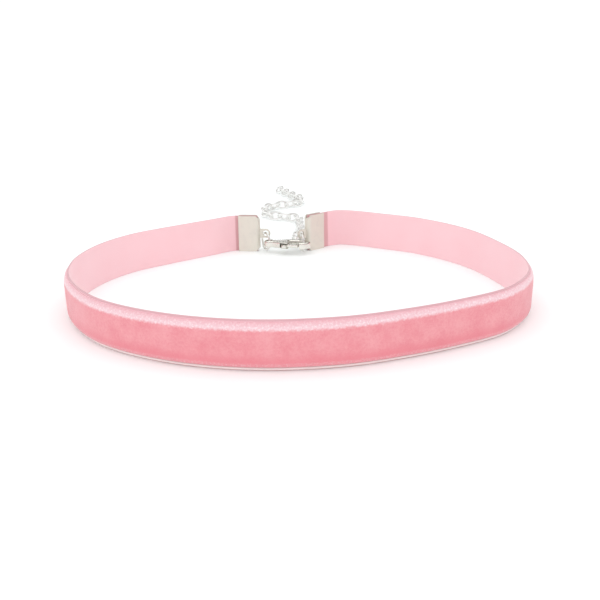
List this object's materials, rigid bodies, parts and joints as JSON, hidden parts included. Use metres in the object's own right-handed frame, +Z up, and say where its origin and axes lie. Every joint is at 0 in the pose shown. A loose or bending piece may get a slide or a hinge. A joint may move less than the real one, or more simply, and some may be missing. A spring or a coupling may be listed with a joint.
{
  "type": "choker necklace",
  "caption": "Velvet ribbon choker standing on its edge, closed by a lobster clasp between ribbon crimps, with an extension chain behind.",
  "frame": {"origin": "bottom centre of the box around the whole piece, on the surface it stands on", "axes": "+Z up, +Y towards the clasp and the chain at the back, -Y the front of the neck, +X to the right seen from the front"},
  "size_m": [0.104, 0.1866, 0.01],
  "materials": {
    "velvet_ribbon": "pink velvet pile outside, smooth pale satin back inside",
    "nickel": "bright nickel plate, slightly warm"
  },
  "bodies": {
    "choker": {"velvet_ribbon": "velvet_ribbon", "crimp_left": "nickel", "crimp_right": "nickel", "jump_ring_left": "nickel", "jump_ring_right": "nickel", "clasp_body": "nickel", "clasp_pin": "nickel", "chain_link_01": "nickel", "chain_link_02": "nickel", "chain_link_03": "nickel", "chain_link_04": "nickel", "chain_link_05": "nickel", "chain_link_06": "nickel", "chain_link_07": "nickel", "chain_link_08": "nickel", "chain_link_09": "nickel", "chain_link_10": "nickel", "chain_link_11": "nickel", "chain_link_12": "nickel", "chain_link_13": "nickel", "chain_link_14": "nickel", "chain_link_15": "nickel", "chain_link_16": "nickel", "chain_link_17": "nickel", "chain_link_18": "nickel", "chain_link_19": "nickel", "chain_link_20": "nickel", "chain_link_21": "nickel", "chain_link_22": "nickel", "chain_link_23": "nickel", "chain_link_24": "nickel", "chain_link_25": "nickel", "chain_link_26": "nickel", "chain_link_27": "nickel", "chain_link_28": "nickel", "chain_link_29": "nickel", "chain_link_30": "nickel", "chain_link_31": "nickel", "chain_link_32": "nickel", "chain_link_33": "nickel"},
    "lever": {"clasp_lever": "nickel"}
  },
  "joints": [
    {"name": "lever_hinge", "type": "hinge", "parent": "choker", "child": "lever", "pos_m": [-0.00348, -0.00405, 0.0025], "axis": [0, 0, 1], "range_deg": [0, 20], "stiffness_Nm_per_rad": 0.002, "springref_deg": -11.46}
  ]
}
